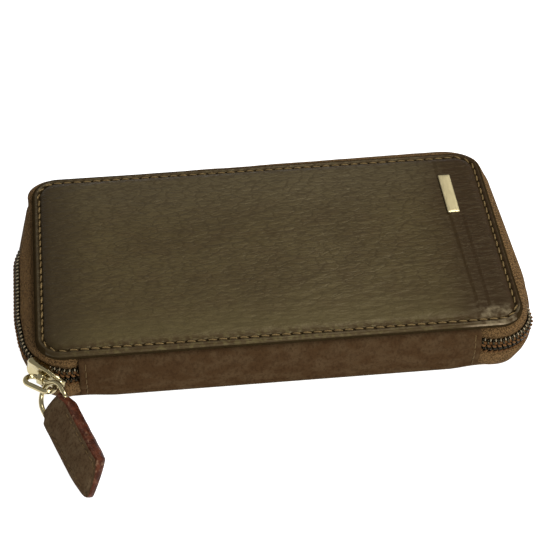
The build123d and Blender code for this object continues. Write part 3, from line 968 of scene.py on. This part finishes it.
def coil_point(at, side, out, away, along):
    """A point given in a turn's own terms, placed at a distance along the zip."""
    point, normal, forward = zip_place(at)
    out -= COIL_TUCK * covered(at)
    if side < 0:
        out -= LOWER_TILT * max(away, 0.0)
    xy = point + normal * out + forward * along
    return (*xy, MID + side * (away + parting(at)))


def turn_places(side, end_gap):
    """Distances along the zip of one coil's turns. The lower coil's lie between the upper coil's."""
    first = 0.5 if side > 0 else 0.98
    places = [(k + first) * COIL_PITCH for k in range(round(ZIP_LENGTH / COIL_PITCH))]
    return [at for at in places if at <= ZIP_LENGTH - end_gap]


def build_coil(name, side):
    builder = Builder()
    for at in turn_places(side, 0.6):
        path = [coil_point(at, side, *spot) for spot in TURN]
        builder.tube(path, TURN_RADII, sides=7, closed=True)
    return builder.make(name, COIL)


def build_coil_seam(name, side):
    """One twisted bead of thread over each turn, sewing it to the tape, the cord inside the coil, and on the
    upper coil a thread over each turn's top whose paleness is a painted highlight.
    """
    builder = Builder()
    for at in turn_places(side, 0.9):
        first = coil_point(at, side, 0.08, 1.3, -0.65)
        second = coil_point(at, side, 0.08, 2.05, 0.75)
        _, normal, _ = zip_place(at)
        builder.capsule(first, second, 0.44, sides=7, sag=0.3, side_way=(*normal, 0.0))
        if side > 0:
            # Painted highlight: a pale thread over the top of each upper turn
            top = [coil_point(at, side, out, away, -0.62) for out, away in ((-1.3, 3.7), (-0.45, 3.15))]
            builder.capsule(*top, 0.27, sides=7, sag=0.15, kind=1)
    cord = [coil_point(at, side, -0.85, 1.9, 0.0) for at in np.arange(1.0, ZIP_LENGTH - 1.0, 1.5)]
    builder.tube(cord, 0.45, flat=1.7)
    return builder.make(name, COIL_SEAM, HIGHLIGHT_THREAD)


def build_zip():
    """Tapes, coils and their sewing bend at the front corners between a cover and the spine."""
    sides = ((1, "upper", "top_cover", UPPER_FACE), (-1, "lower", "bottom_cover", LOWER_FACE))
    for side, name, cover, z in sides:
        pieces = (
            (build_tape(f"{name}_zip_tape", side), "zip_tape", (f"{name}_tape", f"{name}_tape_ends")),
            (build_coil(f"{name}_zip_coil", side), "zip_coil", (f"{name}_coil", f"{name}_coil_ends")),
            (build_coil_seam(f"{name}_zip_sewing", side), "zip_tape", ()),
        )
        for obj, slot, nodes in pieces:
            if side > 0:
                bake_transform(obj)
            else:
                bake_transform(obj)
            if nodes:
                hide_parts(*nodes)


build_zip()


# ---- slider

SLIDER_TILT = math.radians(9)
FACE = EYE - OUT * 1.35
SLIDER_ALONG = ALONG * math.cos(SLIDER_TILT) - UP * math.sin(SLIDER_TILT)
SLIDER_UP = UP * math.cos(SLIDER_TILT) + ALONG * math.sin(SLIDER_TILT)
# Half width of the face plate at distances along it, from the closed end to the spine's end
SHIELD = np.array((
    (-7.6, 2.2), (-7.45, 2.9), (-7.0, 3.4), (-6.0, 3.7), (-4.0, 3.85), (-2.0, 4.05), (0.0, 4.25),
    (1.5, 4.1), (3.0, 3.5), (4.5, 2.9), (6.0, 2.4), (7.2, 1.9), (7.9, 1.4), (8.15, 0.8),
))
# The back plate's half height and half turn about the corner's axis, in degrees
BACK_HALF = 4.2
BACK_TURN = 18.5


def build_slider():
    """Face plate with a raised border and side walls, a back plate inside the tape, and the post."""
    builder = Builder()
    steps, widths = SHIELD.T
    rows = []
    for s in np.unique(np.concatenate([steps, np.linspace(-7.0, 7.2, 22)])):
        w = np.interp(s, steps, widths)
        end = min(s - steps[0], steps[-1] - s)
        drop = 0.55 * (1 - smoothstep(end, 0, 1.0))
        depth = 2.3 * smoothstep(end, -0.4, 1.6) + 0.5
        section = [(-w + 0.1, -depth), (-w - 0.1, -depth + 0.3), (-w - 0.12, -0.7), (-w, -0.15),
                   (-w + 0.3, 0.22), (-w + 0.7, 0.3), (-w + 1.15, 0.12), (-w * 0.45, 0.0), (0.0, -0.02)]
        section += [(-a, b) for a, b in section[-2::-1]]
        inner = w - 0.75
        section += [(inner, -depth), (inner, -1.05), (0.0, -1.05), (-inner, -1.05), (-inner, -depth)]
        along = FACE + SLIDER_ALONG * s - OUT * (s * s / 96 + drop)
        rows.append([along + SLIDER_UP * across + OUT * out for across, out in section])
    builder.solid(rows)
    back_radius = np.linalg.norm((FACE - CORNER_AXIS)[:2]) - 4.2
    rows = []
    for turn in np.linspace(-BACK_TURN, BACK_TURN, 15):
        way = Matrix.Rotation(math.radians(turn), 3, "Z") @ Vector(OUT)
        centre = CORNER_AXIS * (1, 1, 0) + UP * MID + np.array(way) * back_radius
        half = BACK_HALF - 0.8 * smoothstep(abs(turn), 13, BACK_TURN)
        loop = [(-half, 0.2), (-half, 0.4), (-half + 0.3, 0.5), (half - 0.3, 0.5), (half, 0.4),
                (half, 0.2), (half, -0.3), (half - 0.3, -0.5), (-half + 0.3, -0.5), (-half, -0.3)]
        rows.append([centre + UP * a + np.array(way) * b for a, b in loop])
    builder.solid(rows)
    post = FACE + ALONG * 6.2 - OUT * 1.2
    builder.tube([post, post - OUT * 2.2, post - OUT * 3.6], (0.5, 0.45, 0.6), sides=10)
    builder.piece("slider", METAL, "slider", "gold_metal", "slider_body")


def build_arch():
    """The bridge that holds the link, round the link's eye."""
    arch = Builder()
    rows = []
    for k in range(36):
        angle = 2 * math.pi * k / 36
        ca, sa = math.cos(angle), math.sin(angle)
        reach = min(2.2 / max(abs(ca), 1e-6), (1.65 if sa > 0 else 1.75) / max(abs(sa), 1e-6), 2.3)
        if sa > 0:
            reach = min(reach, 1.75 + 0.35 * abs(ca))
        section = [(-0.8, 1.0), (-1.15, 1.2), (-1.2, reach - 0.3), (-0.9, reach)]
        section += [(-across, r) for across, r in reversed(section)]
        rows.append([EYE + ALONG * across + UP * ca * r + OUT * sa * r for across, r in section])
    arch.grid(rows, wrap=True, close=True)
    arch.piece("slider_arch", METAL, "slider", "gold_metal", "slider_bridge")


build_slider()
build_arch()


# ---- pull tab

TAB_HALF_W = 7.0
TAB_LEN = 35.3
TAB_LOOP_R = 2.9
TAB_HALF_T = 2.9
TAB_SHOULDER = 28.6
TAB_LEFT_SHOULDER = 31.5
TAB_SEAM_IN = 2.1
TAB_NECK = 1.8
TAB_ASIDE = 4.9
TAB_BLUNT = 0.4
TAB_SEAM_PITCH = 2.7
# Heights of the points down a side of the tab, as shares of its half thickness
TAB_SIDE = (0.82, 0.4, 0.0, -0.4, -0.82)


def tab_left(t):
    """The left edge runs straight down and rounds in to the point, which lies left of the middle."""
    share = ramp(t, TAB_LEFT_SHOULDER, TAB_LEN)
    tip = TAB_ASIDE + TAB_BLUNT
    return -tip - (TAB_HALF_W - tip) * math.sqrt(1 - share ** 2) + TAB_NECK * (1 - smoothstep(t, 0.4, 2.0))


def tab_right(t):
    """The right edge slants in to the point from a higher shoulder."""
    share = ramp(t, TAB_SHOULDER, TAB_LEN)
    tip = -TAB_ASIDE + TAB_BLUNT
    return tip + (TAB_HALF_W - tip) * (1 - share ** 1.35) ** 0.85 - TAB_NECK * (1 - smoothstep(t, -2.0, 4.0))


def tab_half_width(t):
    return (tab_right(t) - tab_left(t)) / 2


def tab_half_thick(t):
    if t < 0:
        return math.sqrt(max(TAB_LOOP_R ** 2 - t * t, 0.04))
    thin = 1.5 * smoothstep(t, TAB_SHOULDER - 4, TAB_LEN)
    return TAB_HALF_T - thin + (TAB_LOOP_R - TAB_HALF_T) * (1 - smoothstep(t, 0, 5.5))


def tab_point(across, t, out):
    """A point of the tab, across from its middle line, down from the bar and out from its middle plane."""
    middle = (tab_right(t) + tab_left(t)) / 2
    return RING_BAR + TAB_RIGHT * (across + middle) + TAB_DOWN * t + TAB_FACE * out


def tab_face_height(across, t, w, h):
    edge = w - abs(across)
    z = h + 0.35 * smoothstep(edge, 0.4, 4.0) - 0.2
    z -= 0.4 * dent(edge - TAB_SEAM_IN, 0.6) * smoothstep(t, 5.5, 7.5) * smoothstep(w, 2.2, 3.0)
    z += 0.1 * rough(across / 5, t / 7, 1.0) * smoothstep(t, 2, 6)
    return z


def build_tab():
    """Strip folded over the ring's bar and glued back on itself, with rounded painted edges."""
    builder = Builder()
    loop = [-TAB_LOOP_R * math.cos(a) for a in np.linspace(0.12, math.pi / 2, 9)]
    stretch = list(np.linspace(0.35, TAB_SHOULDER, 48))
    tip = [TAB_SHOULDER + (TAB_LEN - TAB_SHOULDER) * math.sin(a) for a in np.linspace(0.08, math.pi / 2, 18)]
    shares = np.array([0, 0.02, 0.06, 0.12, 0.2, 0.28, 0.36, 0.5])
    shares = np.concatenate([shares, 1 - shares[-2::-1]])
    rows = []
    for t in loop + stretch + tip:
        w, h = tab_half_width(t), tab_half_thick(t)
        spread = (2 * shares - 1) * (w - min(0.45, w * 0.5))
        swell = 0.12 * rough(t / 3, 0.0, 4.0)
        row = [tab_point(across, t, tab_face_height(across, t, w, h)) for across in spread]
        for up in TAB_SIDE:
            row.append(tab_point(w + 0.35 * (1 - up * up) - 0.28 * abs(up) ** 3 + swell, t, up * h))
        row += [tab_point(across, t, -tab_face_height(across, t + 40, w, h)) for across in spread[::-1]]
        row += [tab_point(-w + 0.28 * abs(up) ** 3 - swell, t, up * h) for up in TAB_SIDE[::-1]]
        rows.append(row)
    size = len(rows[0])
    builder.solid(rows)
    top = len(shares)
    side_columns = set(range(top - 1, top + 5)) | set(range(2 * top + 4, size))
    # The two faces over the ends come last: leather in the loop, paint at the point
    builder.kinds = [1 if i % size in side_columns else 0 for i in range(len(builder.faces) - 2)] + [0, 1]
    tab = builder.make("tab_leather", TAB, PAINT)
    finish_piece(tab, "pull_tab", "spine_leather", "pull_tab_leather", "pull_tab_core")


def build_tab_seam():
    """Stitches along both long edges of both faces."""
    seam = Builder()
    for face in (1, -1):
        for edge in (-1, 1):
            t = 6.5
            while t + TAB_SEAM_PITCH < TAB_LEN - 4.2:
                ends = []
                for at in (t + 0.3, t + TAB_SEAM_PITCH - 0.35):
                    w, h = tab_half_width(at), tab_half_thick(at)
                    across = edge * max(w - TAB_SEAM_IN, 0.2)
                    ends.append(tab_point(across, at, face * (tab_face_height(across, at, w, h) - 0.02)))
                seam.capsule(*ends, 0.24, sag=0.15, side_way=TAB_FACE * face)
                t += TAB_SEAM_PITCH
    seam.piece("tab_seam", DARK_SEAM, "pull_tab", "seam_thread", "pull_tab_stitching")


build_tab()
build_tab_seam()


# ---- name plate, pockets and lining

def slab(builder, low, high, corner, bevel, step, top=None):
    """A flat piece with rounded corners and edges. top gives extra height of its upper face."""
    centre = ((low[0] + high[0]) / 2, (low[1] + high[1]) / 2)
    half = ((high[0] - low[0]) / 2, (high[1] - low[1]) / 2)
    fine = [0.0, bevel * 0.12, bevel * 0.4, bevel, bevel * 2]
    xs, ys = lines(half[0], fine, step), lines(half[1], fine, step)
    faces = []
    for way in (1, -1):
        rows = []
        for y in ys:
            row = []
            for x in xs:
                inset = min(half[0] - abs(x), half[1] - abs(y))
                px, py = soft_corner(x, y, *half, corner)
                down = 0.0 if inset >= bevel else bevel - math.sqrt(bevel ** 2 - (bevel - inset) ** 2)
                z = high[2] - down if way > 0 else low[2] + down
                if way > 0 and top is not None:
                    z += top(centre[0] + px, centre[1] + py) * smoothstep(inset, 0, bevel * 3)
                row.append((centre[0] + px, centre[1] + py, z))
            rows.append(row)
        faces.append(rows)
        builder.grid(rows, flip=way < 0)
    builder.grid([outline(rows) for rows in faces], wrap=True)


def build_name_plate():
    builder = Builder()
    centre = (plate_lo + plate_hi) / 2

    def crown(x, y):
        return 0.1 * (1 - ((x - centre[0]) / 2.3) ** 2)

    slab(builder, plate_lo - (0, 0, 0.25), plate_hi - (0, 0, 0.1), 0.35, 0.22, 0.6, crown)
    builder.piece("plate", PLATE, "top_cover", "gold_metal", "name_plate")


build_name_plate()

CARD_STEP = 12.0
CARD_T = 0.5
SLIP_T = 0.6
BANK_GAP = 2.0


def build_inside():
    """Lining, slip pocket and stepped card pockets on the inner face of each cover."""
    for side, face, way in (("top", UPPER_FACE, -1), ("bottom", LOWER_FACE, 1)):
        body = f"{side}_cover"
        lining = Builder()
        edge_x, edge_y = HALF_L - EDGE_WALL - 0.05, HALF_W - EDGE_WALL - 0.05
        layers = sorted((face - way * 0.35, face + way * 0.02))
        slab(lining, (-edge_x, -edge_y, layers[0]), (edge_x, edge_y, layers[1]), 8.5, 0.1, 8)
        lining.piece(f"{side}_lining", LINING, body, "lining_fabric", f"{side}_cover_lining")

        slip_lo, slip_hi = box_mm(f"{side}_slip_pocket")
        slip = Builder()
        slab(slip, slip_lo, slip_hi, 1.5, 0.25, 6)
        slip.piece(f"{side}_slip", POCKET, body, "pocket_leather", f"{side}_slip_pocket")

        cards_lo, cards_hi = box_mm(f"{side}_card_pockets")
        cards = Builder()
        sewing = Builder()
        rows = round((cards_hi[2] - cards_lo[2]) / CARD_T)
        width = (cards_hi[0] - cards_lo[0] - BANK_GAP) / 2
        for row in range(rows):
            base = face + way * (SLIP_T + row * CARD_T)
            layers = sorted((base + way * 0.02, base + way * CARD_T))
            mouth = cards_hi[1] - CARD_STEP * row
            for x0 in (cards_lo[0], cards_hi[0] - width):
                slab(cards, (x0, cards_lo[1], layers[0]), (x0 + width, mouth, layers[1]), 0.8, 0.2, 5)
                outside = base + way * CARD_T
                for x in np.arange(x0 + 1.5, x0 + width - 3.0, 3.2):
                    sewing.capsule((x, mouth - 1.6, outside), (x + 2.3, mouth - 1.6, outside), 0.18,
                                   sides=6, sag=way * 0.08)
        cards.piece(f"{side}_cards", POCKET, body, "pocket_leather", f"{side}_card_pockets")
        stitched = sewing.make(f"{side}_card_sewing", SEAM)
        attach(stitched, body)


build_inside()

CAD_LOOKS = {
    METAL: ("pull_link", "pull_ring", "name_plate_prongs", "name_plate_washers"),
    BOARD: ("top_cover_board", "bottom_cover_board"),
    FOAM: ("top_cover_foam", "bottom_cover_foam"),
}
for material, nodes in CAD_LOOKS.items():
    for node in nodes:
        mesh = frame["nodes"][node].data
        mesh.materials.clear()
        mesh.materials.append(material)
        mesh.polygons.foreach_set("use_smooth", [node.startswith("pull")] * len(mesh.polygons))


# ---- studio and camera

def build_floor():
    s = Surface("floor_white", roughness=0.9, Specular_IOR_Level=0.0, Emission_Strength=0.95)
    s.shader.inputs["Emission Color"].default_value = (1, 1, 1, 1)
    s.colour((0.5, 0.5, 0.5))
    builder = Builder()
    reach = 3000.0
    builder.grid([[(x, y, -0.3) for x in (-reach, reach)] for y in (-reach, reach)])
    builder.make("floor", s.material)


def build_world():
    world = bpy.data.worlds.new("studio")
    bpy.context.scene.world = world
    world.use_nodes = True
    background = world.node_tree.nodes["Background"]
    background.inputs["Color"].default_value = (1, 1, 1, 1)
    background.inputs["Strength"].default_value = 0.4


def put(name, data, place, way):
    """A light or camera at a place, looking along a way, level."""
    obj = bpy.data.objects.new(name, data)
    bpy.context.collection.objects.link(obj)
    obj.location = place
    obj.rotation_mode = "QUATERNION"
    obj.rotation_quaternion = way.to_track_quat("-Z", "Y")
    return obj


def soft_light(name, place, aim, size, power):
    light = bpy.data.lights.new(name, "AREA")
    light.shape = "RECTANGLE"
    light.size, light.size_y = size
    light.energy = power
    put(name, light, place, Vector(aim) - Vector(place))


def build_camera():
    """The photograph's view: a long lens from the front, slightly left, 44 degrees up."""
    azimuth, elevation, roll = math.radians(-7.176), math.radians(44.0), math.radians(0.951)
    target = Vector((-0.588, 1.16, 11.5)) * MM
    distance = 640.6 * MM
    level_way = Vector((math.sin(azimuth), -math.cos(azimuth), 0.0))
    back = level_way * math.cos(elevation) + Vector((0, 0, math.sin(elevation)))
    data = bpy.data.cameras.new("camera")
    data.lens = 113.67
    data.sensor_width = 36.0
    data.clip_start, data.clip_end = 0.05, 20.0
    camera = put("camera", data, target + back * distance, -back)
    camera.rotation_quaternion @= Matrix.Rotation(roll, 3, "Z").to_quaternion()
    bpy.context.scene.camera = camera


build_floor()
build_world()
soft_light("key", (0.4, 0.2, 0.9), (0.03, 0, 0), (0.5, 0.4), 9)
soft_light("front", (0.3, -0.85, 0.5), (0, 0, 0), (0.35, 0.25), 8)
build_camera()
bpy.context.scene.view_settings.view_transform = "Standard"
